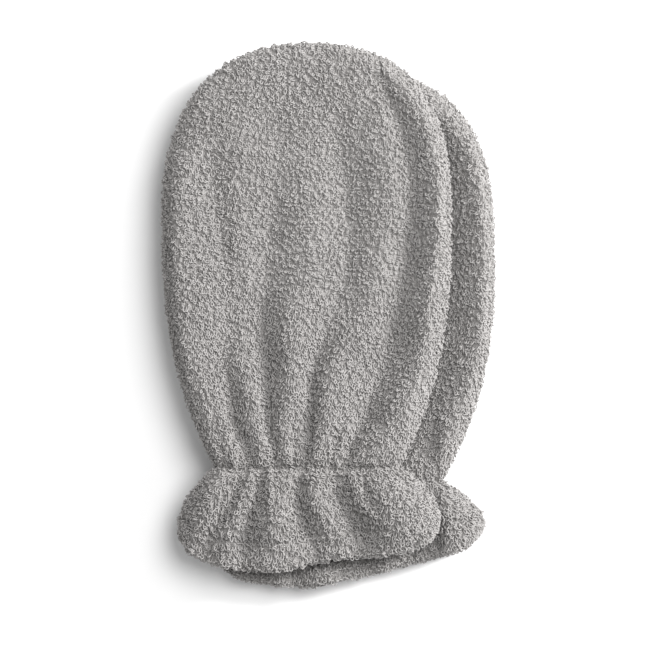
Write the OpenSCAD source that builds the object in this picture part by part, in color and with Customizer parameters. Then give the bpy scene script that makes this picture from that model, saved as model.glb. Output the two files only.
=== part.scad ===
// Pair of terry bath and wash mitts, one lying on the other.
// Each mitt is two cut panels sewn into a bullet-shaped pocket, gathered by an
// elastic at the wrist, with a flared ruffle cuff below it and a turned-up hem.
// Millimetres. +Y points to the fingertips, +Z up. The lower mitt rests on z = 0.

/* [Pocket] */
// Half of the pocket's greatest width
half_w = 72.5; // [64:0.5:80]
// Length from the wrist gather to the fingertips
pocket_l = 211.5; // [190:0.5:230]
// Height of the widest line above the wrist gather
wide_y = 125; // [110:1:140]

/* [Wrist] */
// Half width of the wrist with the elastic relaxed
wrist_w = 46; // [42:0.5:52]
// Width of the elastic tape
elastic_w = 5.2; // [4:0.2:6]
// Thickness of the elastic tape
elastic_t = 1.1; // [0.8:0.1:1.3]
// Number of stitches across each side of the wrist
wrist_stitches = 20; // [12:1:24]

/* [Cuff] */
// Length of the cuff at its middle, below the gather
cuff_l = 49; // [40:1:56]
// How far each side of the cuff flares past the wrist
flare = 19.5; // [12:0.5:24]
// Depth of the turned-up hem
hem_l = 15; // [10:1:20]
// Height of the ruffles on the upper cuff
ruffle = 2.6; // [0:0.2:3]
// Number of stitches along each side of the hem
hem_stitches = 26; // [14:1:30]

/* [Cloth] */
// Half of the thickness of one mitt as it lies
loft = 7.5; // [7.2:0.1:9]
// Thickness of the looped terry of the pocket
terry = 3; // [2.4:0.1:3.2]
// Thickness of the terry of the cuff
cuff_t = 2.6; // [2:0.1:3]
// Thickness of the cuff where its hem is doubled
hem_t = 4.2; // [3.4:0.1:4.4]
// Distance over which the faces round down to the side seam
edge_r = 22; // [16:1:26]

/* [Layout] */
// Gap between the two mitts
stack_gap = 0.4; // [0.3:0.1:1]
// How far the lower mitt lies to the right of the upper one
shift_x = 25; // [15:1:30]
// How far the lower mitt lies towards the cuffs
shift_y = -9; // [-14:1:-4]
// Turn of the lower mitt
turn = 1.9; // [0:0.1:3]

/* [Hidden] */

terry_grey = [0.60, 0.585, 0.58];
terry_shade = [0.55, 0.54, 0.535];
elastic_white = [0.82, 0.82, 0.80];
thread_grey = [0.66, 0.65, 0.64];

// where the two mitts lie; the pair is centred on the origin
upper_at = [-10.63, -75.76];
lower_at = [upper_at[0] + shift_x, upper_at[1] + shift_y];
upper_mid = 3 * loft + stack_gap;
split_y = -3.2;
axis_z = upper_mid + loft - 0.5;

// rows along the pocket as parts of its length, and along the cuff as parts of the cuff
pocket_rows = [-0.0145, 0, 0.014, 0.04, 0.08, 0.13, 0.19, 0.26, 0.34, 0.42, 0.5, 0.58, 0.65,
    0.71, 0.77, 0.82, 0.86, 0.9, 0.93, 0.955, 0.975, 0.988, 0.997];
nu = 28;

// side position of a column u, from -1 to 1, closer together near the side seam
function side(u) = sin(78 * u) / sin(78);

// half width of the outline at height y
function half_width(y) =
    y >= wide_y ? half_w * pow(max(0, 1 - pow((y - wide_y) / (pocket_l - wide_y), 2.4)), 1 / 2.4)
    : y >= 0 ? wrist_w + (half_w - wrist_w) * (1 - pow(1 - y / wide_y, 2.6))
    : wrist_w + flare * sin(90 * min(1, -y / 32));

// level of a point: 0 on the middle line, 1 on the outline
function level(x, y) =
    y >= wide_y ? pow(pow(abs(x) / half_w, 2.4) + pow((y - wide_y) / (pocket_l - wide_y), 2.4), 1 / 2.4)
    : abs(x) / half_width(y);

// rounding of a face at a distance d inside the outline
function round_in(d, r) = sqrt(max(0, 1 - pow(1 - min(1, max(0, d) / r), 2)));

// half thickness of the mitt at height y; the gather is a little flatter
function loft_at(y) = loft - 0.5 * exp(-pow(y / 6, 2));

// depth of the cuff at side position u, from -1 to 1
function cuff_depth(u) = cuff_l - 14 + 14 * sqrt(max(0, 1 - u * u)) - 1.6 * sin(200 * u + 20);

// real y of a nominal row
function row_y(u, y) = y >= split_y ? y : split_y + (y - split_y) * (cuff_depth(u) + split_y) / (cuff_l + split_y);

// cloth thickness of a nominal row
function cloth_at(y) = y >= split_y ? terry : y > -(cuff_l - hem_l) ? cuff_t : hem_t;

// the upper mitt's left side bends down past the edge of the mitt below it
function ease(t) = t <= 0 ? 0 : t >= 1 ? 1 : t * t * (3 - 2 * t);
function droop(x) = 7 * ease((-34 - x) / 38);

// ruffles of the cuff at u, growing towards the mouth
function ruffle_at(u, y) =
    y >= split_y ? 0 : ruffle * min(1, (split_y - y) / 24) * (0.5 - 0.5 * cos(360 * (2.75 * u + 0.4))) * (1 - pow(abs(u), 4));

function outer_z(u, y, wave) =
    loft_at(y) * round_in((1 - level(half_width(y) * side(u), y)) * half_w, edge_r) + wave * ruffle_at(u, y);

// one point of the outer face, and of the inner face, of a half of the mitt
function outer_pt(u, y, last, s, up, wave, grow) =
    let (x = half_width(y) * side(u),
         z = (abs(u) == 1 || last) ? 0 : outer_z(u, y, wave) + grow)
    [x, row_y(u, y), s * z - up * droop(x)];
function inner_pt(u, y, last, s, up) =
    let (t = cloth_at(y), w = half_width(y),
         k = max(0.3, (w - t) / max(w, t + 1)), x = w * side(u) * k,
         z = (abs(u) == 1 || last) ? 0
             : (loft_at(y) - t) * round_in((1 - level(w * side(u), y)) * (half_w - t), edge_r - t))
    [x, row_y(u, y) - (y > 0 ? terry * pow(y / pocket_l, 2) : 0), s * z - up * droop(x)];

// half of a mitt between nominal rows: a closed shell of cloth; s is 1 for the back and -1 for the palm,
// and up is 1 with the upper mitt's droop, -1 with it turned over, 0 without
module half_shell(rows, s, up, tip, wave = 0, grow = 0) {
    nv = len(rows) - 1;
    w = nu + 1;
    n = w * (nv + 1);
    pts = concat(
        [for (j = [0:nv]) for (i = [0:nu]) outer_pt(2 * i / nu - 1, rows[j], tip && j == nv, s, up, wave, grow)],
        [for (j = [0:nv]) for (i = [0:nu]) inner_pt(2 * i / nu - 1, rows[j], tip && j == nv, s, up)]);
    skin = [for (j = [0:nv - 1]) for (i = [0:nu - 1]) for (k = [0, 1])
        let (a = j * w + i, b = a + w, c = b + 1, d = a + 1) k == 0 ? [a, b, c] : [a, c, d]];
    lining = [for (f = skin) [f[2] + n, f[1] + n, f[0] + n]];
    rim = concat([for (i = [0:nu - 1]) [i + 1, i]],
        [for (j = [0:nv - 1]) [j * w, (j + 1) * w]],
        [for (i = [0:nu - 1]) [nv * w + i, nv * w + i + 1]],
        [for (j = [0:nv - 1]) [(j + 1) * w + nu, j * w + nu]]);
    lips = [for (e = rim) for (k = [0, 1]) k == 0 ? [e[1], e[0], e[0] + n] : [e[1], e[0] + n, e[1] + n]];
    all_faces = concat(skin, lining, lips);
    polyhedron(pts, s > 0 ? all_faces : [for (f = all_faces) [f[2], f[1], f[0]]], convexity = 8);
}

function pocket_y() = [for (f = pocket_rows) f * pocket_l];
function cuff_y(top) = [-cuff_l, 1.6 - cuff_l, 6 - cuff_l, hem_l - 0.4 - cuff_l, hem_l + 0.4 - cuff_l,
    hem_l + 6 - cuff_l, hem_l + 12 - cuff_l, -14.5, -9, -5.6, top];

// a tape ring that lines the inside of the wrist
module wrist_ring() {
    t = terry - 0.15;
    w = wrist_w - t;
    h = loft_at(0) - t;
    function ring(w, h, r) = concat(
        [for (i = [0:24]) let (u = i / 12 - 1) [w * sin(90 * u), h * round_in((1 - abs(sin(90 * u))) * w, r)]],
        [for (i = [1:23]) let (u = 1 - i / 12) [w * sin(90 * u), -h * round_in((1 - abs(sin(90 * u))) * w, r)]]);
    rotate([90, 0, 0]) linear_extrude(elastic_w, center = true) difference() {
        polygon(ring(w, h, edge_r - t));
        polygon(ring(w - elastic_t, h - elastic_t, edge_r - t - elastic_t));
    }
}

// the upper ring follows the droop of its mitt, which is small at the wrist
module bent_ring() {
    t = terry - 0.15;
    m = 24;
    function edge(i, dx, dz, y) =
        let (top = i <= m, u = top ? 2 * i / m - 1 : 1 - 2 * (i - m) / m,
             w = wrist_w - t - dx, x = w * sin(90 * u),
             z = (loft_at(0) - t - dz) * round_in((1 - abs(sin(90 * u))) * w, edge_r - t - dx))
        [x, y, (top ? z : -z) - droop(x)];
    c = 2 * m;
    pts = [for (q = [[0, 0, -1], [0, 0, 1], [1, 1, 1], [1, 1, -1]]) for (i = [0:c - 1])
        edge(i, q[0] * elastic_t, q[1] * elastic_t, q[2] * elastic_w / 2)];
    faces = [for (q = [0:3]) for (i = [0:c - 1]) for (k = [0, 1])
        let (a = q * c + i, b = q * c + (i + 1) % c, d = ((q + 1) % 4) * c + i, e = ((q + 1) % 4) * c + (i + 1) % c)
        k == 0 ? [a, d, e] : [a, e, b]];
    polyhedron(pts, faces, convexity = 6);
}

// stitches through the cloth and the elastic, on both faces of the wrist
module wrist_stitch_row(up) {
    for (s = [-1, 1]) for (k = [0:wrist_stitches - 1]) {
        u = -0.62 + 1.24 * k / (wrist_stitches - 1);
        x = wrist_w * side(u);
        z = outer_z(u, 0, 0);
        zi = z - terry - elastic_t;
        d = up ? droop(x) : 0;
        translate([x, 0, -d]) {
            translate([-1.2, -0.35, s > 0 ? z - 0.45 : -z - 0.2]) cube([2.4, 0.7, 0.65]);
            translate([-0.35, -0.35, s > 0 ? zi - 0.1 : -z]) cube([0.7, 0.7, z - zi + 0.1]);
        }
    }
}

// stitches through the two layers of the hem
module hem_stitch_row(up, wave) {
    yn = hem_l - 1.5 - cuff_l;
    for (s = [-1, 1]) for (k = [0:hem_stitches - 1]) {
        u = -0.7 + 1.4 * k / (hem_stitches - 1);
        x = half_width(yn) * side(u);
        z = outer_z(u, yn, s > 0 ? wave : 0);
        zi = outer_z(u, yn, 0) - hem_t;
        d = up ? droop(x) : 0;
        translate([x, row_y(u, yn), -d]) {
            translate([-1.2, -0.35, s > 0 ? z - 0.5 : -z]) cube([2.4, 0.7, 0.65]);
            translate([-0.35, -0.35, s > 0 ? zi - 0.1 : -z + 0.1]) cube([0.7, 0.7, z - zi]);
        }
    }
}

// overlock thread wound along the inner edge of the side seam, as one cord
module seam_cord(path) {
    m = len(path);
    r = 0.9;
    dirs = [for (k = [0:m - 1]) let (a = path[max(0, k - 1)], b = path[min(m - 1, k + 1)], v = [b[0] - a[0], b[1] - a[1]]) v / norm(v)];
    pts = [for (k = [0:m - 1]) for (q = [0:7])
        [path[k][0] - dirs[k][1] * r * cos(45 * q), path[k][1] + dirs[k][0] * r * cos(45 * q), path[k][2] + r * sin(45 * q)]];
    walls = [for (k = [0:m - 2]) for (q = [0:7]) for (h = [0, 1])
        let (a = k * 8 + q, b = k * 8 + (q + 1) % 8, c = b + 8, d = a + 8) h == 0 ? [c, b, a] : [d, c, a]];
    polyhedron(pts, concat(walls, [[for (q = [0:7]) q]], [[for (q = [7:-1:0]) (m - 1) * 8 + q]]), convexity = 6);
}

function seam_pt(q, y, up) =
    let (w = half_width(y), x = q * max(1.2, w - (y < split_y ? cuff_t : terry) - 0.4))
    [x, row_y(q, y) - (y > 0 ? (terry + 0.4) * pow(y / pocket_l, 2) : 0), up ? -droop(x) : 0];
function pocket_seam(up, rows) = concat([for (y = rows) seam_pt(1, y, up)], [for (k = [len(rows) - 1:-1:0]) seam_pt(-1, rows[k], up)]);
function seam_rows() = [for (f = [0.004, 0.03, 0.08, 0.13, 0.19, 0.26, 0.34, 0.42, 0.5, 0.58, 0.65, 0.71, 0.77, 0.82, 0.86, 0.9, 0.93, 0.955, 0.975, 0.988]) f * pocket_l];
function cuff_seam_rows(top) = [top, -9, -14, -20, -26, -33, -40, 1.2 - cuff_l];

module place_lower() { translate([lower_at[0], lower_at[1], loft]) rotate([0, 0, turn]) children(); }
module place_upper() { translate([upper_at[0], upper_at[1], upper_mid]) children(); }

module lower_back_panel() {
    color(terry_shade) translate([0, 0, 2 * loft]) mirror([0, 0, 1]) difference() {
        place_lower() half_shell(concat(cuff_y(split_y), pocket_y()), -1, 0, true, 0, 0.15);
        translate([-150, -200, -10]) cube([300, 400, 10]);
    }
}
module lower_palm_panel() {
    color(terry_shade) difference() {
        place_lower() half_shell(concat(cuff_y(split_y), pocket_y()), -1, 0, true, 0, 0.15);
        translate([-150, -200, -10]) cube([300, 400, 10]);
    }
}
module lower_wrist_elastic() { color(elastic_white) place_lower() wrist_ring(); }
module lower_wrist_stitching() { color(thread_grey) place_lower() wrist_stitch_row(false); }
module lower_seam_thread() {
    color(thread_grey) place_lower() seam_cord(concat(
        [for (k = [7:-1:0]) seam_pt(1, cuff_seam_rows(split_y - 0.4)[k], false)],
        pocket_seam(false, seam_rows()),
        [for (y = cuff_seam_rows(split_y - 0.4)) seam_pt(-1, y, false)]));
}
module lower_hem_stitching() { color(thread_grey) place_lower() hem_stitch_row(false, 0); }

module upper_back_panel() {
    color(terry_grey) place_upper() mirror([0, 0, 1]) difference() {
        half_shell(pocket_y(), -1, -1, true, 0, 0.15);
        translate([-150, -100, -loft - 10]) cube([300, 400, 10]);
    }
}
module upper_palm_panel() { color(terry_grey) place_upper() half_shell(pocket_y(), -1, 1, true); }
module upper_wrist_elastic() { color(elastic_white) place_upper() bent_ring(); }
module upper_wrist_stitching() { color(thread_grey) place_upper() wrist_stitch_row(true); }
module upper_seam_thread() { color(thread_grey) place_upper() seam_cord(pocket_seam(true, seam_rows())); }
module upper_cuff_back() { color(terry_grey) place_upper() half_shell(cuff_y(split_y - 0.35), 1, 1, false, 1); }
module upper_cuff_palm() { color(terry_grey) place_upper() half_shell(cuff_y(split_y - 0.35), -1, 1, false); }
module upper_cuff_seam_thread() {
    color(thread_grey) place_upper() for (q = [-1, 1])
        seam_cord([for (y = cuff_seam_rows(split_y - 1.4)) seam_pt(q, y, true)]);
}
module upper_hem_stitching() { color(thread_grey) place_upper() hem_stitch_row(true, 1); }

lower_back_panel();
lower_palm_panel();
lower_wrist_elastic();
lower_wrist_stitching();
lower_seam_thread();
lower_hem_stitching();
upper_back_panel();
upper_palm_panel();
upper_wrist_elastic();
upper_wrist_stitching();
upper_seam_thread();
upper_cuff_back();
upper_cuff_palm();
upper_cuff_seam_thread();
upper_hem_stitching();
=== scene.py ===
"""A pair of looped terry wash mitts, one lying on the other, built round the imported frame."""
import math
import bpy
import numpy as np
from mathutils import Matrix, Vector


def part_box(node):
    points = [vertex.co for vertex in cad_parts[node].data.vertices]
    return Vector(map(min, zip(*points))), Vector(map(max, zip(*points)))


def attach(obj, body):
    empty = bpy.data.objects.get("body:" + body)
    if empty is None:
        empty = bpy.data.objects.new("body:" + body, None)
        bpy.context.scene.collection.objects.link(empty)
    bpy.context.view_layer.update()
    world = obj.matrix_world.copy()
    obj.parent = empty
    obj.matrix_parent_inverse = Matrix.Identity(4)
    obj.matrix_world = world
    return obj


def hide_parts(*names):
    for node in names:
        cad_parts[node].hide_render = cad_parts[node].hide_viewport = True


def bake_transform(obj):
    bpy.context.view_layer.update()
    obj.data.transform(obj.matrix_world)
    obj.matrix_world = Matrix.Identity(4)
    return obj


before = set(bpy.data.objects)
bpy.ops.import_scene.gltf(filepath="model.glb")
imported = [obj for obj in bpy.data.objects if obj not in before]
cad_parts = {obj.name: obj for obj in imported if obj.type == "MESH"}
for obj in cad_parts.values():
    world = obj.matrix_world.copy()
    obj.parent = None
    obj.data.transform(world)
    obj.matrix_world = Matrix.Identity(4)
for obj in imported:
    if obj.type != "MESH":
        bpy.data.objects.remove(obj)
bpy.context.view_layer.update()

MM = 0.001


# ---------------------------------------------------------------- places, from the frame
def centre(node):
    lo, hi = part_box(node)
    return np.array([(a + b) / 2 for a, b in zip(lo, hi)]) / MM


UPPER = dict(name="upper", at=centre("upper_wrist_elastic"), turn=0.0, droop=True, seed=11)
LOWER = dict(name="lower", at=centre("lower_wrist_elastic"), turn=math.radians(1.9), droop=False, seed=23)
UPPER["at"][2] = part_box("upper_back_panel")[1][2] / MM - 7.5
LOWER["at"][2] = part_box("lower_back_panel")[1][2] / MM - 7.5

# base cloth outline, in mm in a mitt's own frame: the loops stand proud of it
Y_WIDE = 124.0
UPPER["tip"], LOWER["tip"] = 210.0, 206.2
UPPER["round"], LOWER["round"] = (2.35, 2.62), (2.5, 2.62)
UPPER["wide"], LOWER["wide"] = (71.0, 71.2), (71.0, 72.6)          # left, right
UPPER["neck"], LOWER["neck"] = (44.6, 45.6), (44.4, 42.4)
UPPER["flare"], LOWER["flare"] = ((18.6, 29.0), (19.6, 24.0)), ((27.0, 31.0), (20.8, 23.0))   # how much and over what length
# length of the cuff below the gather, across it: left edge -1 to right edge 1
UPPER["edge"] = [(-1, 32), (-0.93, 40.5), (-0.75, 45.4), (-0.55, 48), (-0.33, 48.8), (-0.2, 48.5), (-0.06, 47), (0.04, 45.2), (0.21, 43.2),
                 (0.37, 42.4), (0.54, 41.6), (0.67, 40.6), (0.77, 38.8), (0.9, 35.8), (0.97, 32), (1, 27)]
LOWER["edge"] = [(-1, 33), (-0.93, 39), (-0.82, 43.6), (-0.59, 46.7), (-0.34, 48.2), (-0.12, 45.3), (0, 44), (0.34, 39.5), (0.61, 36), (0.86, 31), (0.97, 25), (1, 20.5)]
T_CLOTH = 0.9      # ground weave, without its loops
HEM_R, HEM_L, HEM_LINE = 1.9, 14.0, 11.5     # the turned-up hem, and how far above the edge it is sewn


def smooth(t):
    t = np.clip(t, 0, 1)
    return t * t * (3 - 2 * t)


for _m in (UPPER, LOWER):
    _s = np.linspace(-1, 1, 401)
    _e = np.interp(_s, [p[0] for p in _m["edge"]], [p[1] for p in _m["edge"]])
    _k = np.hanning(23)
    _m["edge_s"], _m["edge_len"] = _s, np.convolve(np.pad(_e, 11, mode="edge"), _k / _k.sum(), "valid") + 0.3


def outline(m, y, right):
    """Half width of a mitt at row y, on its left or right side."""
    up = np.clip((y - Y_WIDE) / (m["tip"] - Y_WIDE), 0, 1)
    mid = np.clip(y / Y_WIDE, 0, 1)
    e = np.where(right, m["round"][1], m["round"][0])
    wide = np.where(right, m["wide"][1], m["wide"][0])
    neck = np.where(right, m["neck"][1], m["neck"][0])
    top = wide * np.power(np.clip(1 - np.power(up, e), 0, 1), 1 / e)
    body = neck + (wide - neck) * (1 - np.power(1 - mid, 2.6))
    grow = np.where(right, m["flare"][1][0], m["flare"][0][0])
    span = np.where(right, m["flare"][1][1], m["flare"][0][1])
    reach = np.where(right, m["edge_len"][-1], m["edge_len"][0])
    cuff = neck + grow * np.sin(0.5 * math.pi * np.clip(-y / 48.0 * reach / span, 0, 1))
    return np.where(y >= Y_WIDE, top, np.where(y >= 0, body, cuff))


def level(m, x, y):
    up = np.clip((y - Y_WIDE) / (m["tip"] - Y_WIDE), 0, 1)
    e = np.where(x > 0, m["round"][1], m["round"][0])
    wide = np.where(x > 0, m["wide"][1], m["wide"][0])
    top = np.power(np.power(np.abs(x) / wide, e) + np.power(up, e), 1 / e)
    return np.where(y >= Y_WIDE, top, np.abs(x) / np.maximum(outline(m, y, x > 0), 1e-6))


def rounded(d, r):
    return np.sqrt(np.clip(1 - (1 - np.clip(d / r, 0, 1)) ** 2, 0, 1))


# folds: crests and valleys that run along the mitt, left to right, each point (y, x, height), in mm
POCKET_LINES = [
    [(2, -40.2, 1.0), (13, -42.2, 1.4), (23, -47.2, 1.7), (33, -50.2, 1.9), (43, -54.7, 2.5), (65, -59.7, 3.2), (93, -62.7, 3.5), (123, -64.2, 3.0), (153, -61.2, 1.6), (175, -52, 0.3)],
    [(2, -27.2, -1.2), (13, -31.2, -1.7), (23, -35.2, -1.9), (33, -36.2, -1.8), (43, -37.7, -1.2), (53, -41.2, -1.2), (65, -39, -1.3), (93, -37.5, -1.3),
     (108, -39, -1.2), (123, -43, -1.2), (138, -45.2, -0.8), (153, -46.2, -0.4), (175, -42, 0)],
    [(2, -21.2, 0.9), (13, -23.2, 1.4), (23, -26.2, 1.8), (33, -27.2, 1.7), (43, -28.7, 1.3), (53, -31.2, 0.6), (65, -33, -0.7), (78, -33, -1.3), (93, -33, -1.2),
     (108, -33.5, -0.2), (123, -33, 0.6), (138, -34.7, 0.6), (160, -34, 0.4), (185, -30, 0)],
    [(2, -15.7, -1.2), (13, -16.7, -1.8), (23, -18.7, -2.4), (33, -19.2, -2.8), (43, -19.7, -3.0), (53, -19.2, -3.0), (65, -21, -2.6), (78, -21.5, -2.1),
     (93, -20.7, -2.2), (108, -19, -2.1), (123, -17, -1.6), (138, -15.7, -1.0), (160, -14, -0.2), (185, -12, 0)],
    [(2, -10, 0.9), (13, -10.2, 1.2), (23, -10.4, 1.6), (33, -8.2, 2.4), (43, -7.2, 2.7), (53, -6.2, 2.9), (65, -6.2, 2.8), (78, -5.2, 2.5),
     (93, -1.7, 2.0), (108, 1.7, 1.6), (123, 0.7, 1.2), (138, 0.7, 0.7), (160, 2, 0.1)],
    [(2, 0.2, -1.4), (13, 2.2, -2.0), (23, 2.2, -2.3), (33, 2.7, -2.3), (43, 3.2, -2.1), (53, 4.7, -1.7), (65, 9.2, -1.0), (78, 15.7, -1.1),
     (93, 19.2, -1.4), (108, 21.7, -1.8), (123, 21, -2.4), (138, 20, -2.4), (153, 18, -1.9), (172, 16, -0.7), (185, 16, 0)],
    [(2, 4.2, 0.9), (13, 6.7, 1.6), (23, 8.7, 2.0), (33, 10.7, 2.2), (43, 12.2, 2.0), (53, 14.7, 1.6), (65, 21.7, 0.9), (78, 30.7, 0.6),
     (93, 33.7, 0.5), (108, 36.2, 0.5), (123, 40, 0.5), (138, 40.5, 0.2), (153, 40.5, -0.1), (175, 37, 0.0), (192, 32, 0.2)],
    [(2, 19.7, -1.3), (13, 23.2, -2.0), (23, 29.7, -2.4), (33, 32.7, -2.7), (43, 36.2, -3.2), (53, 39.7, -3.3), (65, 43.2, -3.3), (78, 44.7, -3.4),
     (93, 47.7, -3.4), (108, 50.2, -3.2), (123, 52, -2.7), (138, 51.7, -2.6), (153, 50, -2.5), (165, 47.8, -2.1), (178, 44, -1.4), (190, 38, -0.5)],
    [(2, 31.7, 1.9), (13, 37.7, 2.6), (23, 45.2, 2.8), (33, 48.7, 2.8), (43, 53.2, 2.8), (53, 56.7, 2.6), (65, 59.2, 2.5), (78, 60.7, 2.4),
     (93, 62.7, 2.4), (108, 64.2, 2.4), (123, 65.4, 2.6), (138, 65.6, 2.7), (153, 63.8, 2.6), (168, 60, 2.2), (180, 53.5, 1.8), (192, 43, 1.2), (202, 25, 0.5)],
]
# the lower mitt lies pressed hollow beside the upper one's edge, and rises to a ridge along its own right side
LOWER_RIGHT = [
    [(2, 19.7, -1.3), (13, 23.2, -2.0), (23, 28.2, -2.5), (33, 30.7, -2.8), (43, 33.7, -2.9), (53, 37.7, -2.9), (65, 41, -2.9), (78, 42.5, -3.0),
     (93, 44.5, -3.1), (108, 45.5, -3.1), (123, 46, -3.1), (138, 46, -3.1), (153, 45, -3.0), (165, 43, -2.5), (178, 39, -1.8), (190, 33, -0.5)],
    [(2, 33, 1.9), (13, 39.7, 2.6), (23, 47.2, 2.9), (33, 51.7, 2.9), (43, 55.7, 2.9), (53, 59.2, 2.9), (65, 62.9, 3.0), (78, 65.2, 3.2),
     (93, 67.0, 3.3), (108, 68.2, 3.3), (123, 68.6, 3.3), (138, 68.3, 3.2), (153, 66.2, 2.8), (168, 61.7, 2.4), (180, 55.0, 2.0), (192, 44, 1.3), (202, 25, 0.5)],
]
UPPER["lines"], LOWER["lines"] = POCKET_LINES, POCKET_LINES[:7] + LOWER_RIGHT
CUFF_LINES = [
    [(-4, -41.7, 1.3), (-13, -44.2, 2.1), (-23, -51.2, 2.4), (-33, -54.7, 1.9), (-44, -56, 0.9)],
    [(-4, -32.2, -0.9), (-13, -34.7, -1.5), (-23, -40.7, -1.4), (-33, -45.7, -1.1), (-40, -47.7, -0.8)],
    [(-4, -27.7, 0.7), (-13, -28.7, 1.1), (-23, -33.7, 1.2), (-33, -37.7, 1.0), (-40, -39, 0.7)],
    [(-4, -22.7, -1.0), (-13, -23.7, -1.5), (-23, -26.7, -2.2), (-33, -29, -1.9), (-44, -32, -0.8)],
    [(-4, -11.5, 1.2), (-13, -14.7, 2.2), (-18, -15.2, 2.8), (-23, -15.2, 3.2), (-28, -15.7, 3.2), (-33, -15.7, 3.0), (-44, -18, 2.3)],
    [(-4, -2.2, -1.4), (-13, -3.2, -2.5), (-18, -3.2, -3.0), (-23, -2.2, -3.2), (-28, -1.2, -3.1), (-33, 0.7, -2.6), (-38, 3.7, -1.9), (-44, 4.7, -1.3)],
    [(-4, 3.7, 1.0), (-13, 4.2, 1.6), (-18, 5.2, 1.6), (-23, 8.2, 1.3), (-28, 10.7, 1.0), (-33, 13.7, 0.6), (-38, 16.2, 0.2), (-44, 14, 0)],
    [(-4, 13.7, -1.7), (-13, 15.2, -2.9), (-18, 16.7, -3.5), (-23, 20.7, -3.8), (-28, 23.7, -3.7), (-33, 26.7, -3.2), (-38, 27.7, -2.2), (-44, 27, -1.4)],
    [(-4, 34.2, 1.6), (-8, 35.7, 2.2), (-13, 40.7, 2.8), (-18, 43.2, 3.4), (-23, 43.5, 3.6), (-28, 46, 3.7), (-33, 45.7, 3.2), (-38, 43, 2.1), (-44, 42, 1.2)],
]
# short pleats near the gather: x, y, height, half width
POCKET_FOLDS = [
    [(-6.2, 0, -1.3, 1.7), (-6.2, 12, -1.5, 2.0), (-7.0, 22, -0.9, 2.2), (-7, 32, 0.0, 2.5)],
    [(12.2, 0, -1.0, 1.7), (15, 13, -0.9, 2.2), (18, 24, -0.6, 2.6), (20, 34, 0.0, 3)],
    [(15.7, 0, 0.9, 1.8), (18.7, 13, 0.9, 2.4), (22, 24, 0.5, 3), (24, 34, 0.0, 3)],
    [(-35, 0, 0.8, 2.0), (-38, 10, 1.0, 2.6), (-42, 26, 0.6, 3.4), (-45, 40, 0.0, 4)],
    [(-38.5, 0, -0.8, 1.6), (-42, 12, -0.9, 2.2), (-46, 26, -0.4, 3), (-48, 36, 0.0, 3)],
    [(24.5, 0, 0.8, 1.8), (28, 10, 0.7, 2.2), (33, 20, 0.3, 3), (36, 28, 0.0, 3)],
    [(38.5, 0, -0.9, 1.8), (43, 9, -0.8, 2.2), (48, 18, -0.3, 2.6), (50, 26, 0.0, 3)],
]
CUFF_FOLDS = [
    [(-18.2, 0, 0.8, 1.7), (-17.6, -6, 1.0, 1.9), (-17, -14, 0.5, 2.2), (-17, -20, 0.0, 2)],
    [(-14.2, 0, -0.8, 1.4), (-14.2, -7, -0.9, 1.6), (-14.4, -14, -0.4, 2), (-14.4, -20, 0.0, 2)],
    [(23.2, 0, 0.8, 1.8), (24, -7, 1.2, 2.2), (25.2, -14, 1.5, 2.4), (31, -22, 1.0, 2.6), (36, -28, 0.0, 3)],
    [(27.7, 0, -0.8, 1.6), (29.2, -8, -1.3, 1.9), (31, -15, -1.2, 2.1), (37, -22, -0.6, 2.4), (40, -27, 0.0, 3)],
    [(-37, 0, -0.8, 1.8), (-40, -7, -0.8, 2.2), (-44, -16, -0.4, 2.6), (-46, -24, 0.0, 3)],
    [(9, 0, 0.6, 1.5), (10.5, -8, 0.8, 1.8), (13, -16, 0.4, 2.4), (15, -22, 0.0, 3)],
    [(40, 0, -0.8, 1.8), (46, -6, -0.9, 2.2), (53, -14, -0.5, 3), (56, -20, 0.0, 3)],
]


def strokes(lines, x, y):
    h = np.zeros_like(x)
    for line in lines:
        a = np.array(sorted(line, key=lambda p: p[1]), float)
        inside = smooth((y - a[0, 1] + 3.0) / 3.0) * smooth((a[-1, 1] + 3.0 - y) / 3.0)
        xk, hk, sk = (np.interp(y, a[:, 1], a[:, c]) for c in (0, 2, 3))
        h += inside * hk * np.exp(-((x - xk) / sk) ** 2)
    return h


def relief(m, lines, x, y, yy):
    """Height of the folds: round crests, tighter valleys, nothing at the side seams."""
    xs, hs = [-outline(m, y, False)], [np.zeros_like(x)]
    for line in lines:
        a = np.array(sorted(line), float)
        xs.append(np.interp(yy, a[:, 0], a[:, 1]))
        hs.append(np.interp(yy, a[:, 0], a[:, 2]))
    xs.append(outline(m, y, True))
    hs.append(np.zeros_like(x))
    for i in range(1, len(xs)):
        xs[i] = np.maximum(xs[i], xs[i - 1] + 0.4)
    h = np.zeros_like(x)
    for i in range(len(xs) - 1):
        t = np.clip((x - xs[i]) / (xs[i + 1] - xs[i]), 0, 1)
        lo, hi = hs[i], hs[i + 1]
        from_low = np.where(hi >= lo, t, 1 - t)
        shape = 0.55 * smooth(from_low) + 0.45 * np.sin(0.5 * math.pi * from_low)
        if i == len(lines) - 1 and lines is not CUFF_LINES:      # the side of the ridge along the right edge
            k = np.where(yy < 165, smooth((yy - 25) / 30), 1 - smooth((yy - 165) / 30))
            shape = shape + k * (0.35 * smooth(from_low) + 0.65 * np.power(from_low, 1.5) - shape)
        v = np.minimum(lo, hi) + np.abs(hi - lo) * shape
        h = np.where((x >= xs[i]) & (x < xs[i + 1]), v, h)
    return h


_noise_rng = np.random.default_rng(5)
_waves = [(_noise_rng.uniform(0, 2 * math.pi), _noise_rng.uniform(0, 2 * math.pi), f) for f in (26.0, 37.0, 54.0, 17.0, 12.5)]


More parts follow.
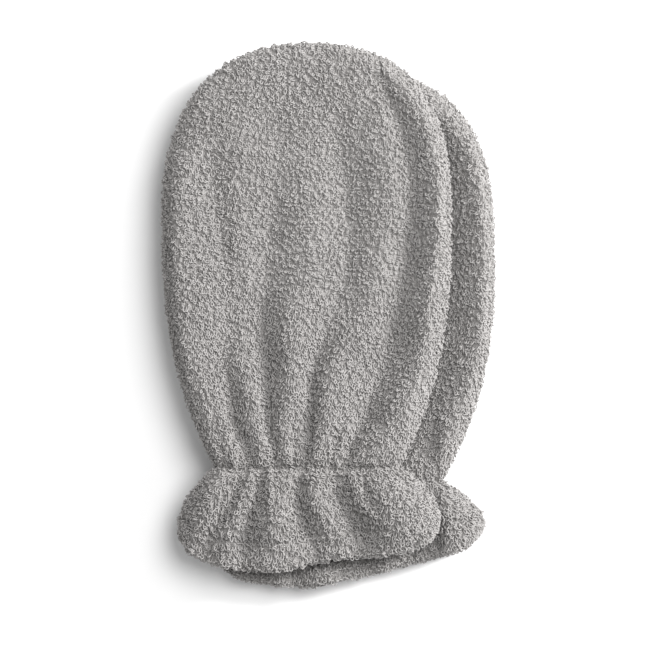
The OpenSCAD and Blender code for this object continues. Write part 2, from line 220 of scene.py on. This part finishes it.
def dimples(x, y, seed):
    """Slow unevenness of the cloth, in mm."""
    h = np.zeros_like(x)
    for i, (a, b, f) in enumerate(_waves):
        a, b = a + seed * 1.7, b + seed * 0.9
        c, s = math.cos(a), math.sin(a)
        h += (f / 54.0) * np.sin((x * c + y * s) * 2 * math.pi / f + b) * np.cos((y * c - x * s) * 2 * math.pi / (f * 1.3) + a)
    return 0.42 * h


def droop(x, y):
    """How far the upper mitt's free side sinks past the lower one."""
    return (1.9 + 6.0 * smooth(-y / 18)) * smooth((-38 - x) / 34)


def cuff_edge(m, u):
    """Length of the cuff below the gather at side position u."""
    return np.interp(np.sin(0.5 * math.pi * u), m["edge_s"], m["edge_len"])


FOLD = 1.65        # how deep the folds are


def top_height(m, x, y, yy, side):
    """Height of the base cloth over the mitt's middle plane, at row y, which lies at height yy over the gather."""
    d = (1 - level(m, x, y)) * (71 + 12 * np.clip((y - Y_WIDE) / 60, 0, 1))
    r = 11.5 + 7 * smooth((y - 135) / 55)
    neck = np.exp(-(y / 2.2) ** 2)
    if side > 0:
        full = 5.8 + 1.2 * smooth(-y / 16) + 0.5 * smooth((y - 10) / 40) * (1 - smooth((y - 120) / 80))
        full = full + (1.1 * smooth((x + 45) / 95) - 2.8 * np.exp(-((x - 2) / 34) ** 2)) * smooth((y - 40) / 50) * (1 - 0.7 * smooth((y - 165) / 40))
        h = full * rounded(d, r * np.where(m["name"] == "upper", np.where(x < 0, 0.78, 1.0), np.where(x > 0, 0.7, 1.0)))
        f = np.where(y >= 0, relief(m, m["lines"], x, y, yy) * smooth((y + 4) / 10) + strokes(POCKET_FOLDS, x, yy),
                     relief(m, CUFF_LINES, x, y, yy) * smooth((4 - y) / 10) + strokes(CUFF_FOLDS, x, yy))
        pinch = 0.5 * np.sin(x * 2 * math.pi / 4.6 + 1.3 * np.sin(x / 7.0 + m["seed"])) * np.exp(-np.abs(y) / 6.5)
        f = FOLD * f + pinch + dimples(x, y, m["seed"]) * (0.5 + 0.5 * smooth(np.abs(y) / 25))
        h = h + f * smooth(d / 6.0) - 2.6 * neck * smooth(d / 5.0)
        h = np.maximum(h, -1.2)
        if m["name"] == "lower":  # pressed by the mitt on it
            cap = 6.0
            under = smooth((46 - x) / 8.0)
            under = under * (1 - smooth((-yy - 37) / 7))
            h = np.where(h > cap - 1.5, h - under * (h - (cap - 1.5)) * 0.85, h)
        else:
            h = h - 2.4 * smooth((-yy - 24) / 18) * smooth(d / 7.0)
    else:
        h = 5.9 * rounded(d, 13.0) - 0.9 * neck * smooth(d / 5.0)
        f = 0.35 * relief(m, m["lines"], x, y, yy) * (y >= 0) + 0.3 * relief(m, CUFF_LINES, x, y, yy) * (y < 0)
        h = h + np.minimum(f, 0.15) * smooth(d / 8.0)
    return h


def to_row(m, p):
    """From a mitt's own frame, in mm, to the row frame, in mm."""
    c, s = math.cos(m["turn"]), math.sin(m["turn"])
    z = p[..., 2] - (droop(p[..., 0], p[..., 1]) if m["droop"] else 0)
    return np.stack([m["at"][0] + c * p[..., 0] - s * p[..., 1], m["at"][1] + s * p[..., 0] + c * p[..., 1], m["at"][2] + z], -1)


def real_y(m, u, y):
    return np.where(y >= 0, y, y * cuff_edge(m, u) / 48.0)


def cloth(m, u, q, side):
    """Point of the outer face of a panel. u runs across from -1 to 1. q is the height above the gather down to -48 at the cuff's edge, and below that the length along the turned-up hem."""
    u, q = np.broadcast_arrays(np.asarray(u, float), np.asarray(q, float))
    t = np.clip(-48.0 - q, 0, None)           # length past the edge
    arc = np.clip(t / (math.pi * HEM_R), 0, 1) * math.pi
    back = np.clip(t - math.pi * HEM_R, 0, None)
    y = np.where(q >= -48.0, q, np.minimum(-48.0 + back * 48.0 / cuff_edge(m, u), -8.0))
    x = outline(m, y, u > 0) * np.sin(0.5 * math.pi * u)
    yy = real_y(m, u, y)
    h = top_height(m, x, y, yy, side)
    h = h - 1.3 * np.exp(-((yy + cuff_edge(m, u) - HEM_LINE) / 1.2) ** 2) * (q > -48) * smooth((1 - np.abs(u)) / 0.1)
    edge = rounded((1 - np.abs(np.sin(0.5 * math.pi * u))) * 71, 11.5)   # the fold closes at the side seam
    h = h - HEM_R * (1 - np.cos(arc)) * edge
    yy = yy - HEM_R * np.sin(arc)
    x = x * (1 - 0.02 * np.clip(back / HEM_L, 0, 1))
    return np.stack([x, yy, side * h], -1)


def cloth_normal(m, u, q, side):
    e, k = 0.004, 0.25
    ua, ub = np.clip(u + e, -1, 1), np.clip(u - e, -1, 1)
    du = to_row(m, cloth(m, ua, q, side)) - to_row(m, cloth(m, ub, q, side))
    qa = np.minimum(q + k, m["tip"])
    dq = to_row(m, cloth(m, u, qa, side)) - to_row(m, cloth(m, u, q - k, side))
    n = np.cross(du, dq) * side
    return n / np.maximum(np.linalg.norm(n, axis=-1, keepdims=True), 1e-9), du, dq


# ---------------------------------------------------------------- meshes
def make_mesh(name, verts_mm, quads, mat, smooth_shade=True):
    me = bpy.data.meshes.new(name)
    v = np.asarray(verts_mm, np.float32).reshape(-1, 3) * MM
    f = np.asarray(quads, np.int32)
    k = f.shape[1]
    me.vertices.add(len(v))
    me.vertices.foreach_set("co", v.ravel())
    me.loops.add(f.size)
    me.loops.foreach_set("vertex_index", f.ravel())
    me.polygons.add(len(f))
    me.polygons.foreach_set("loop_start", np.arange(0, f.size, k, dtype=np.int32))
    me.polygons.foreach_set("use_smooth", np.full(len(f), smooth_shade))
    me.update(calc_edges=True)
    me.validate()
    me.materials.append(mat)
    ob = bpy.data.objects.new(name, me)
    bpy.context.scene.collection.objects.link(ob)
    return ob


def tubes(paths, planes, radius, sides=4, closed_ends=True):
    """Yarns along paths (n, m, 3), with a vector near the normal of each one's plane at each point (n, m, 3). Returns vertices and quads."""
    n, m, _ = paths.shape
    t = np.empty_like(paths)
    t[:, 1:-1] = paths[:, 2:] - paths[:, :-2]
    t[:, 0] = paths[:, 1] - paths[:, 0]
    t[:, -1] = paths[:, -1] - paths[:, -2]
    t /= np.maximum(np.linalg.norm(t, axis=-1, keepdims=True), 1e-9)
    a = planes - np.sum(planes * t, -1, keepdims=True) * t
    a /= np.maximum(np.linalg.norm(a, axis=-1, keepdims=True), 1e-9)
    b = np.cross(t, a)
    r = np.broadcast_to(np.asarray(radius, float), (n, m))
    ang = np.arange(sides) * 2 * math.pi / sides + math.pi / sides
    ring = (np.cos(ang)[None, None, :, None] * a[:, :, None] + np.sin(ang)[None, None, :, None] * b[:, :, None]) * r[:, :, None, None]
    v = (paths[:, :, None] + ring).reshape(-1, 3)
    i = np.arange(n)[:, None, None] * m * sides
    j = np.arange(m - 1)[None, :, None] * sides
    s = np.arange(sides)[None, None, :]
    s2 = (s + 1) % sides
    q = np.stack([i + j + s, i + j + s2, i + j + sides + s2, i + j + sides + s], -1).reshape(-1, 4)
    if closed_ends and sides == 4:
        base = (np.arange(n) * m * sides)[:, None]
        cap0 = base + np.array([3, 2, 1, 0])[None]
        cap1 = base + (m - 1) * sides + np.array([0, 1, 2, 3])[None]
        q = np.concatenate([q, cap0, cap1])
    return v, q


def row_positions(m):
    """Rows of a panel from the tip to the hem's raw edge, close together where the cloth turns."""
    up = Y_WIDE + (m["tip"] - Y_WIDE) * np.sin(0.5 * math.pi * np.linspace(1, 0, 58))
    body = np.linspace(Y_WIDE, 0, 84)[1:]
    cuff = np.linspace(0, -48, 36)[1:]
    fold = -48 - np.linspace(0, math.pi * HEM_R, 9)[1:]
    hem = -48 - math.pi * HEM_R - np.linspace(0, HEM_L, 10)[1:]
    return np.concatenate([up, body, cuff, fold, hem])


def panel_mesh(m, side, mat):
    q = row_positions(m)
    q[0] = m["tip"] - 0.02
    u = np.linspace(-1, 1, 141)
    uu, qq = np.meshgrid(u, q)
    outer = to_row(m, cloth(m, uu, qq, side))
    nrm, _, _ = cloth_normal(m, np.clip(uu, -0.985, 0.985), np.minimum(qq, m["tip"] - 0.4), side)
    inner = outer - nrm * T_CLOTH
    rows, cols = uu.shape
    idx = np.arange(rows * cols).reshape(rows, cols)
    a, b, c, d = idx[:-1, :-1], idx[:-1, 1:], idx[1:, 1:], idx[1:, :-1]
    face = np.stack([a, d, c, b], -1).reshape(-1, 4)
    if side < 0:
        face = face[:, ::-1]
    n = rows * cols
    back = face[:, ::-1] + n
    ring = np.concatenate([idx[0, :-1], idx[:-1, -1], idx[-1, :0:-1], idx[:0:-1, 0]])
    nxt = np.roll(ring, -1)
    lip = np.stack([ring, nxt, nxt + n, ring + n], -1)
    if side < 0:
        lip = lip[:, ::-1]
    ob = make_mesh(f"{m['name']}_{'back' if side > 0 else 'palm'}_cloth", np.concatenate([outer.reshape(-1, 3), inner.reshape(-1, 3)]), np.concatenate([face, back, lip]), mat)
    return ob


def field(x, y, f, seed):
    return np.sin(x / f + seed) * np.cos(y / (f * 1.2) - 2.1 * seed) + np.sin((x + y) / (f * 0.7) + 3 * seed) * 0.7 + np.cos((x - 1.4 * y) / (f * 1.6) + seed) * 0.8


def loop_sites(m, side, rng):
    """Where loops grow on a panel: rows of them, evenly spaced along the cloth."""
    fine = np.concatenate([
        Y_WIDE + (m["tip"] - Y_WIDE) * np.sin(0.5 * math.pi * np.linspace(0.995, 0, 240)),
        np.linspace(Y_WIDE, -48, 400)[1:], -48 - np.linspace(0, math.pi * HEM_R + HEM_L - 1.0, 60)[1:]])
    mid = to_row(m, cloth(m, np.full_like(fine, 0.15), fine, side))
    s = np.concatenate([[0], np.cumsum(np.linalg.norm(np.diff(mid, axis=0), axis=1))])
    ROW, STEP = SPACING[m["name"], side]
    rows = np.interp(np.arange(0.4, s[-1], ROW), s, fine)
    us, qs = [], []
    uf = np.linspace(-1, 1, 320)
    for k, q in enumerate(rows):
        line = to_row(m, cloth(m, uf, np.full_like(uf, q), side))
        sc = np.concatenate([[0], np.cumsum(np.linalg.norm(np.diff(line, axis=0), axis=1))])
        pos = np.arange((0.25 + 0.5 * (k % 2)) * STEP, sc[-1], STEP)
        pos = pos + rng.normal(0, 0.15, len(pos))
        us.append(np.interp(pos, sc, uf))
        qs.append(np.full(len(pos), q) + rng.normal(0, 0.16, len(pos)))
    u, q = np.concatenate(us), np.concatenate(qs)
    return np.clip(u, -0.997, 0.997), np.minimum(q, m["tip"] - 0.3)


SPACING = {("upper", 1): (1.68, 1.38), ("lower", 1): (1.72, 1.45), ("upper", -1): (1.9, 1.6), ("lower", -1): (1.85, 1.55)}   # rows, and loops in a row


def pile(m, side, mats, per_piece=3750):
    rng = np.random.default_rng(m["seed"] + (0 if side > 0 else 500))
    u, q = loop_sites(m, side, rng)
    base = to_row(m, cloth(m, u, q, side))
    nrm, du, dq = cloth_normal(m, u, q, side)
    n = len(u)
    # tangents: towards the fingertips and across
    ty = dq - np.sum(dq * nrm, -1, keepdims=True) * nrm
    ty /= np.maximum(np.linalg.norm(ty, axis=-1, keepdims=True), 1e-9)
    tx = np.cross(ty, nrm)
    x = outline(m, np.maximum(q, -48), u > 0) * np.sin(0.5 * math.pi * u)
    order = np.clip(1 - smooth((q - 50) / 80), 0.3, 0.92)          # how far the loops are combed along the folds
    order = np.where(q < 0, 0.68, order)
    patch = field(x, q, 9.0, m["seed"])
    comb = -0.5 * math.pi + rng.normal(0, 0.3, n) + 0.15 * patch + np.where(rng.uniform(0, 1, n) < 0.2, math.pi, 0)
    ang = np.where(rng.uniform(0, 1, n) < order, comb, rng.uniform(-math.pi, math.pi, n))
    d = np.cos(ang)[:, None] * tx + np.sin(ang)[:, None] * ty
    lat = np.cross(nrm, d)
    flat = smooth((58 - np.abs(x - 8)) / 30) * smooth((q - 45) / 60) * smooth((205 - q) / 40)   # small, even loops on the smooth part
    big = np.where(q < 0, 1.14, 1.03 - 0.17 * flat)
    near = np.exp(-(q / 2.6) ** 2)
    rim = smooth((level(m, x, np.maximum(q, -48)) - 0.82) / 0.14)
    hem = np.exp(-((real_y(m, u, np.maximum(q, -48)) + cuff_edge(m, u) - HEM_LINE) / 1.4) ** 2) * (q > -48)
    length = rng.normal(2.35, 0.32, n).clip(1.5, 3.3) * big * (1 - 0.35 * near - 0.4 * hem) * (1 - 0.2 * rim) * (1 - 0.22 * smooth((-q - 44) / 5))
    stray = rng.uniform(0, 1, n) < 0.004
    length = np.where(stray, length * 1.7, length)
    width = rng.normal(0.95, 0.15, n).clip(0.65, 1.4) * big
    yarn = rng.normal(0.33, 0.022, n).clip(0.27, 0.4)
    a0 = rng.normal(0.5, 0.24, n)
    bend = rng.normal(1.1, 0.3, n).clip(0.4, 2.0) + np.where(stray, 0.5, 0)
    twist = rng.normal(0, 0.42, n).clip(-1.2, 1.2)
    lean = rng.normal(0, 0.25, n)
    M = 7
    t = np.linspace(0, 1, M)[None]
    a = np.sin(math.pi * t) ** 0.8 * np.ones((n, 1))
    b = -np.cos(math.pi * t) * (0.55 + 0.45 * np.sin(math.pi * t))
    al = a * length[:, None]
    k = (bend / length)[:, None]
    th = a0[:, None] + k * al
    g = (np.cos(a0)[:, None] - np.cos(th)) / k
    h = (np.sin(th) - np.sin(a0)[:, None]) / k
    up = np.cos(th)[..., None] * d[:, None] * -1 + np.sin(th)[..., None] * nrm[:, None]  # out of the loop's plane
    psi = twist[:, None] * a + lean[:, None]
    la = np.cos(psi)[..., None] * lat[:, None] + np.sin(psi)[..., None] * up
    pl = -np.sin(psi)[..., None] * lat[:, None] + np.cos(psi)[..., None] * up
    path = base[:, None] - nrm[:, None] * 0.2 + g[..., None] * d[:, None] + h[..., None] * nrm[:, None] + (b * width[:, None])[..., None] * la
    rad = yarn[:, None] * (0.85 + 0.18 * np.sin(math.pi * t))
    if m["name"] == "lower" and side < 0:
        path[..., 2] = np.maximum(path[..., 2], 0.36)
    parts = []
    order_ix = np.argsort(-q, kind="stable")
    pieces = max(1, math.ceil(n / per_piece))
    for i, ix in enumerate(np.array_split(order_ix, pieces)):
        v, f = tubes(path[ix], pl[ix], rad[ix])
        ob = make_mesh(f"{m['name']}_{'back' if side > 0 else 'palm'}_loops_{i + 1}", v, f, mats)
        parts.append(ob)
    return parts, n


# ---------------------------------------------------------------- materials
def principled(name, base, rough, sheen=0.0, tint=(1, 1, 1, 1), spec=0.3):
    mat = bpy.data.materials.new(name)
    mat.use_nodes = True
    nt = mat.node_tree
    p = nt.nodes["Principled BSDF"]
    p.inputs["Base Color"].default_value = (*base, 1)
    p.inputs["Roughness"].default_value = rough
    p.inputs["Specular IOR Level"].default_value = spec
    p.inputs["Sheen Weight"].default_value = sheen
    p.inputs["Sheen Roughness"].default_value = 0.5
    p.inputs["Sheen Tint"].default_value = tint
    return mat, nt, p


def node(nt, kind, **props):
    n = nt.nodes.new(kind)
    for k, v in props.items():
        setattr(n, k, v)
    return n


def yarn_material(name, dark, light, scale=1.0):
    mat, nt, p = principled(name, light, 0.92, sheen=0.2, tint=(1, 0.98, 0.96, 1), spec=0.15)
    co = node(nt, "ShaderNodeTexCoord")
    big = node(nt, "ShaderNodeTexNoise")
    big.inputs["Scale"].default_value = 45 * scale
    big.inputs["Detail"].default_value = 3
    fine = node(nt, "ShaderNodeTexNoise")
    fine.inputs["Scale"].default_value = 420 * scale
    fine.inputs["Detail"].default_value = 4
    fine.inputs["Roughness"].default_value = 0.65
    mix = node(nt, "ShaderNodeMath", operation="MULTIPLY_ADD")
    mix.inputs[1].default_value = 0.45
    ramp = node(nt, "ShaderNodeValToRGB")
    ramp.color_ramp.elements[0].position = 0.40
    ramp.color_ramp.elements[0].color = (*dark, 1)
    ramp.color_ramp.elements[1].position = 0.95
    ramp.color_ramp.elements[1].color = (*light, 1)
    nt.links.new(co.outputs["Object"], big.inputs["Vector"])
    nt.links.new(co.outputs["Object"], fine.inputs["Vector"])
    nt.links.new(big.outputs["Fac"], mix.inputs[0])
    nt.links.new(fine.outputs["Fac"], mix.inputs[2])
    nt.links.new(mix.outputs[0], ramp.inputs["Fac"])
    nt.links.new(ramp.outputs["Color"], p.inputs["Base Color"])
    fib = node(nt, "ShaderNodeTexNoise")
    fib.inputs["Scale"].default_value = 3200 * scale
    fib.inputs["Detail"].default_value = 3
    bump = node(nt, "ShaderNodeBump")
    bump.inputs["Strength"].default_value = 0.5
    bump.inputs["Distance"].default_value = 0.0002
    nt.links.new(co.outputs["Object"], fib.inputs["Vector"])
    nt.links.new(fib.outputs["Fac"], bump.inputs["Height"])
    nt.links.new(bump.outputs["Normal"], p.inputs["Normal"])
    return mat


def weave_material(name, dark, light, pitch):
    mat, nt, p = principled(name, light, 0.95, sheen=0.2, spec=0.15)
    co = node(nt, "ShaderNodeTexCoord")
    wx = node(nt, "ShaderNodeTexWave", wave_type="BANDS", bands_direction="X")
    wx.inputs["Scale"].default_value = 0.314 / pitch
    wx.inputs["Distortion"].default_value = 1.2
    wx.inputs["Detail Scale"].default_value = 2
    wy = node(nt, "ShaderNodeTexWave", wave_type="BANDS", bands_direction="Y")
    wy.inputs["Scale"].default_value = 0.314 / pitch
    wy.inputs["Distortion"].default_value = 1.2
    mul = node(nt, "ShaderNodeMath", operation="MULTIPLY")
    ramp = node(nt, "ShaderNodeValToRGB")
    ramp.color_ramp.elements[0].color = (*dark, 1)
    ramp.color_ramp.elements[1].color = (*light, 1)
    bump = node(nt, "ShaderNodeBump")
    bump.inputs["Strength"].default_value = 0.8
    bump.inputs["Distance"].default_value = 0.0004
    for w in (wx, wy):
        nt.links.new(co.outputs["Object"], w.inputs["Vector"])
    nt.links.new(wx.outputs["Fac"], mul.inputs[0])
    nt.links.new(wy.outputs["Fac"], mul.inputs[1])
    nt.links.new(mul.outputs[0], ramp.inputs["Fac"])
    nt.links.new(mul.outputs[0], bump.inputs["Height"])
    nt.links.new(ramp.outputs["Color"], p.inputs["Base Color"])
    nt.links.new(bump.outputs["Normal"], p.inputs["Normal"])
    return mat


LOOP = yarn_material("terry_loop_yarn", (0.278, 0.268, 0.262), (0.377, 0.365, 0.358))
GROUND = weave_material("terry_ground_weave", (0.235, 0.226, 0.220), (0.33, 0.318, 0.311), 0.0011)
TAPE = weave_material("elastic_tape_weave", (0.55, 0.54, 0.53), (0.70, 0.69, 0.68), 0.0008)
THREAD = yarn_material("sewing_thread", (0.30, 0.29, 0.28), (0.44, 0.43, 0.42), 2.0)


# ---------------------------------------------------------------- the mitts
def wrist_elastic(m):
    """The tape inside the neck, puckered where the cloth is gathered on it."""
    a = np.linspace(0, 2 * math.pi, 361)[:-1]
    rows = np.linspace(-2.6, 2.6, 7)
    out = []
    for depth in (0.0, 1.0):
        w, h = min(m["neck"]) - 2.0 - depth, 3.2 - 0.9 - depth
        ring = []
        for yy in rows:
            puck = 0.22 * np.sin(a * 34 + 0.6 * np.sin(3 * a)) * (abs(yy) / 2.6)
            cx, sx = np.cos(a), np.sin(a)
            x = w * np.sign(cx) * np.abs(cx) ** 0.9
            z = (h + puck) * np.sign(sx) * np.abs(sx) ** 0.55
            ring.append(to_row(m, np.stack([x, np.full_like(x, yy + 0.15 * 0), z], -1)))
        out.append(np.array(ring))
    o, i = out
    R, C = o.shape[:2]
    idx = np.arange(R * C).reshape(R, C)
    nx = np.roll(idx, -1, axis=1)
    f = np.stack([idx[:-1], nx[:-1], nx[1:], idx[1:]], -1).reshape(-1, 4)
    g = f[:, ::-1] + R * C
    e0 = np.stack([idx[0] + R * C, nx[0] + R * C, nx[0], idx[0]], -1)
    e1 = np.stack([idx[-1], nx[-1], nx[-1] + R * C, idx[-1] + R * C], -1)
    return make_mesh(f"{m['name']}_elastic_tape", np.concatenate([o.reshape(-1, 3), i.reshape(-1, 3)]), np.concatenate([f, g, e0, e1]), TAPE)


def stitch_run(m, name, row, spacing, length, lift, u_max=0.93):
    """Short stitches round a mitt, on both panels, at the row that row(u) gives."""
    paths, planes = [], []
    for side in (1, -1):
        uf = np.linspace(-u_max, u_max, 400)
        line = to_row(m, cloth(m, uf, row(uf), side))
        s = np.concatenate([[0], np.cumsum(np.linalg.norm(np.diff(line, axis=0), axis=1))])
        starts = np.arange(0.5, s[-1] - length, spacing)
        t = np.linspace(0, 1, 7)
        for s0 in starts:
            uu = np.interp(s0 + t * length, s, uf)
            p = to_row(m, cloth(m, uu, row(uu), side))
            nn, _, _ = cloth_normal(m, uu, row(uu), side)
            p = p + nn * (lift * np.sin(math.pi * t) - 0.5 * (1 - np.sin(math.pi * t)))[:, None]
            if m["name"] == "lower" and side < 0:
                p[:, 2] = np.maximum(p[:, 2], 0.5)
            paths.append(p)
            planes.append(nn)
    v, f = tubes(np.array(paths), np.array(planes), 0.28)
    return make_mesh(name, v, f, THREAD)


def seam_path(m):
    y = np.concatenate([np.linspace(-46, 0, 24), np.linspace(0, Y_WIDE, 60)[1:], Y_WIDE + (m["tip"] - Y_WIDE) * np.sin(0.5 * math.pi * np.linspace(0, 0.965, 60))[1:]])
    sides = []
    for right, sign in ((True, 1), (False, -1)):
        w = outline(m, y, right) - 2.6
        yy = np.where(y >= 0, y - 2.6 * (np.clip(y, 0, None) / m["tip"]) ** 2, y * cuff_edge(m, np.float64(sign)) / 48.0)
        sides.append(np.stack([sign * w, yy, np.zeros_like(w)], -1))
    return np.concatenate([sides[0], sides[1][::-1]])


def seam_thread(m):
    """The overlock thread, wound round the joined edges on the inside."""
    p = seam_path(m)
    s = np.concatenate([[0], np.cumsum(np.linalg.norm(np.diff(p, axis=0), axis=1))])
    pitch, per = 1.9, 10
    n = int(s[-1] / pitch * per)
    sa = np.linspace(0, s[-1], n)
    c = np.stack([np.interp(sa, s, p[:, k]) for k in range(3)], -1)
    t = np.gradient(c, axis=0)
    t /= np.linalg.norm(t, axis=1, keepdims=True)
    nrm = np.stack([-t[:, 1], t[:, 0], np.zeros(n)], -1)
    ph = np.arange(n) * 2 * math.pi / per
    h = c + nrm * (1.1 * np.cos(ph))[:, None] + np.array([0, 0, 1.0]) * (0.75 * np.sin(ph))[:, None]
    h = to_row(m, h)
    v, f = tubes(h[None], np.broadcast_to(t, h.shape)[None].copy(), 0.22)
    return make_mesh(f"{m['name']}_overlock_thread", v, f, THREAD)


report = {}
for m in (LOWER, UPPER):
    nm = m["name"]
    crossing = []
    for side, key in ((1, "back"), (-1, "palm")):
        sheet = panel_mesh(m, side, GROUND)
        loops, count = pile(m, side, LOOP)
        report[f"{nm}_{key}_loops"] = count
        if nm == "lower":
            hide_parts(f"{nm}_{key}_panel")
        else:
            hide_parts(f"{nm}_{key}_panel", f"{nm}_cuff_{key}")
        for o in [sheet, *loops]:
            crossing.append(o)
    seam = seam_thread(m)
    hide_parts(*([f"{nm}_seam_thread"] + ([f"{nm}_cuff_seam_thread"] if nm == "upper" else [])))
    crossing.append(seam)
    tape = wrist_elastic(m)
    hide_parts(f"{nm}_wrist_elastic")
    ws = stitch_run(m, f"{nm}_wrist_stitches", lambda u: 0.0 * u, 3.6, 2.9, 0.55)
    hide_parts(f"{nm}_wrist_stitching")
    hs = stitch_run(m, f"{nm}_hem_stitches", lambda u: -48.0 * (1 - HEM_LINE / cuff_edge(m, u)), 4.0, 2.8, 0.35)
    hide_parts(f"{nm}_hem_stitching")
    if nm == "lower":
        for o in crossing + [tape, ws, hs]:
            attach(o, "lower_mitt")
    else:
        for o in crossing:
            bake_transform(o)
        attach(tape, "upper_mitt")
        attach(ws, "upper_mitt")
        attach(hs, "upper_cuff")
print("loops", report)

# ---------------------------------------------------------------- stage, light, camera
floor_mat, fnt, fp = principled("pale_floor", (0.925, 0.925, 0.925), 0.9, spec=0.1)
fm = bpy.data.meshes.new("floor")
S = 6.0
fm.from_pydata([(-S, -S, 0), (S, -S, 0), (S, S, 0), (-S, S, 0)], [], [(0, 1, 2, 3)])
fm.materials.append(floor_mat)
floor = bpy.data.objects.new("floor", fm)
bpy.context.scene.collection.objects.link(floor)

world = bpy.data.worlds.new("studio")
bpy.context.scene.world = world
world.use_nodes = True
world.node_tree.nodes["Background"].inputs["Color"].default_value = (1, 1, 1, 1)
world.node_tree.nodes["Background"].inputs["Strength"].default_value = 0.47


def area_light(name, loc, target, size, power):
    li = bpy.data.lights.new(name, "AREA")
    li.shape = "DISK"
    li.size = size
    li.energy = power
    ob = bpy.data.objects.new(name, li)
    bpy.context.scene.collection.objects.link(ob)
    ob.location = loc
    ob.visible_camera = False
    from mathutils import Vector
    ob.rotation_euler = (Vector(target) - Vector(loc)).to_track_quat("-Z", "Y").to_euler()
    return ob


area_light("softbox", (0.42, 0.29, 1.088), (0, 0, 0), 0.8, 13.2)
area_light("side", (1.47, 0.62, 0.82), (0, 0, 0), 0.5, 42)

cam = bpy.data.cameras.new("camera")
cam.lens = 164.5
cam.sensor_width = 36
camera = bpy.data.objects.new("camera", cam)
bpy.context.scene.collection.objects.link(camera)
camera.location = (-0.00138, -0.00526, 1.5)
camera.rotation_euler = (0, 0, 0)
bpy.context.scene.camera = camera
cam.clip_end = 20
bpy.context.scene.view_settings.view_transform = "Standard"
bpy.context.scene.view_settings.look = "None"
